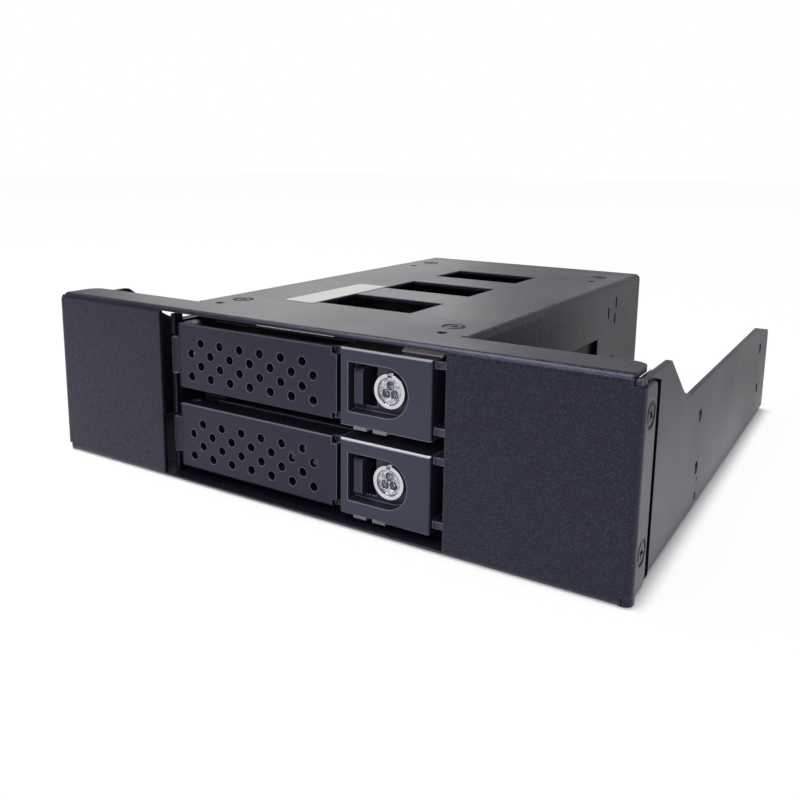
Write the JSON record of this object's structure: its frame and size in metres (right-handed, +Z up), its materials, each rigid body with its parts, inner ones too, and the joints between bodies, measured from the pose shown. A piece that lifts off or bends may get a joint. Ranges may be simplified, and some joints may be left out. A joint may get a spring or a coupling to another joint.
{
  "type": "hot swap drive cage",
  "caption": "Bay-mounted sheet-metal cage whose stacked pull-out drive trays have perforated swing levers, sliding latches and key locks, with a backplane behind them.",
  "frame": {"origin": "middle of the footprint, on the underside that the cage stands on", "axes": "+X to the right seen from the front, +Y from the front face to the rear, +Z up"},
  "size_m": [0.148, 0.143, 0.0414],
  "materials": {
    "cover_paint": "satin black powder coat",
    "base_paint": "satin black powder coat",
    "shelf_paint": "satin black powder coat",
    "sled_paint": "satin black powder coat",
    "guide_plastic": "moulded, matt",
    "tray_plastic": "moulded, fine spark-eroded texture",
    "lever_plastic": "moulded, fine spark-eroded texture",
    "latch_plastic": "moulded, matt",
    "spring_steel": "bright rolled",
    "zinc_steel": "zinc plated",
    "black_screw": "black zinc",
    "lock_chrome": "polished",
    "circuit_board": "solder mask",
    "connector_plastic": "moulded, matt",
    "capacitor_can": "satin",
    "lamp_lens": "clear",
    "clear_pipe": "clear, frosted end"
  },
  "bodies": {
    "cage": {"front_cover": "cover_paint", "base_tray": "base_paint", "divider_shelf": "shelf_paint", "guide_left": "guide_plastic", "guide_right": "guide_plastic", "ground_spring": "spring_steel", "backplane_board": "circuit_board", "lower_drive_socket": "connector_plastic", "upper_drive_socket": "connector_plastic", "data_ports": "connector_plastic", "power_port": "connector_plastic", "capacitors": "capacitor_can", "indicator_lamps": "lamp_lens", "strip_screws": "black_screw", "clinch_nuts": "zinc_steel", "top_screws": "black_screw", "foot_screws": "black_screw", "board_screws": "zinc_steel"},
    "upper_tray": {"upper_tray_front": "tray_plastic", "upper_sled": "sled_paint", "upper_hinge_pin": "zinc_steel", "upper_lever_spring": "spring_steel", "upper_latch_spring": "spring_steel", "upper_lock_ring": "lock_chrome", "upper_light_pipes": "clear_pipe", "upper_front_screws": "zinc_steel"},
    "upper_lever": {"upper_lever": "lever_plastic"},
    "upper_latch": {"upper_latch": "latch_plastic"},
    "upper_lock": {"upper_lock_barrel": "lock_chrome", "upper_lock_cam": "zinc_steel"},
    "lower_tray": {"lower_tray_front": "tray_plastic", "lower_sled": "sled_paint", "lower_hinge_pin": "zinc_steel", "lower_lever_spring": "spring_steel", "lower_latch_spring": "spring_steel", "lower_lock_ring": "lock_chrome", "lower_light_pipes": "clear_pipe", "lower_front_screws": "zinc_steel"},
    "lower_lever": {"lower_lever": "lever_plastic"},
    "lower_latch": {"lower_latch": "latch_plastic"},
    "lower_lock": {"lower_lock_barrel": "lock_chrome", "lower_lock_cam": "zinc_steel"}
  },
  "joints": [
    {"name": "upper_tray_slide", "type": "slide", "parent": "cage", "child": "upper_tray", "axis": [0, -1, 0], "range_m": [0, 0.105]},
    {"name": "upper_lever_hinge", "type": "hinge", "parent": "upper_tray", "child": "upper_lever", "pos_m": [-0.0318, -0.0665, 0.03], "axis": [0, 0, -1], "range_deg": [0, 70], "deforming": ["upper_lever_spring"]},
    {"name": "upper_latch_slide", "type": "slide", "parent": "upper_tray", "child": "upper_latch", "axis": [1, 0, 0], "range_m": [0, 0.002], "stiffness_N_per_m": 300, "springref_m": -0.001, "deforming": ["upper_latch_spring"]},
    {"name": "upper_lock_turn", "type": "hinge", "parent": "upper_tray", "child": "upper_lock", "pos_m": [0.023, -0.0655, 0.03005], "axis": [0, 1, 0], "range_deg": [-90, 0]},
    {"name": "lower_tray_slide", "type": "slide", "parent": "cage", "child": "lower_tray", "axis": [0, -1, 0], "range_m": [0, 0.105]},
    {"name": "lower_lever_hinge", "type": "hinge", "parent": "lower_tray", "child": "lower_lever", "pos_m": [-0.0318, -0.0665, 0.0109], "axis": [0, 0, -1], "range_deg": [0, 70], "deforming": ["lower_lever_spring"]},
    {"name": "lower_latch_slide", "type": "slide", "parent": "lower_tray", "child": "lower_latch", "axis": [1, 0, 0], "range_m": [0, 0.002], "stiffness_N_per_m": 300, "springref_m": -0.001, "deforming": ["lower_latch_spring"]},
    {"name": "lower_lock_turn", "type": "hinge", "parent": "lower_tray", "child": "lower_lock", "pos_m": [0.023, -0.0655, 0.01095], "axis": [0, 1, 0], "range_deg": [-90, 0]}
  ]
}
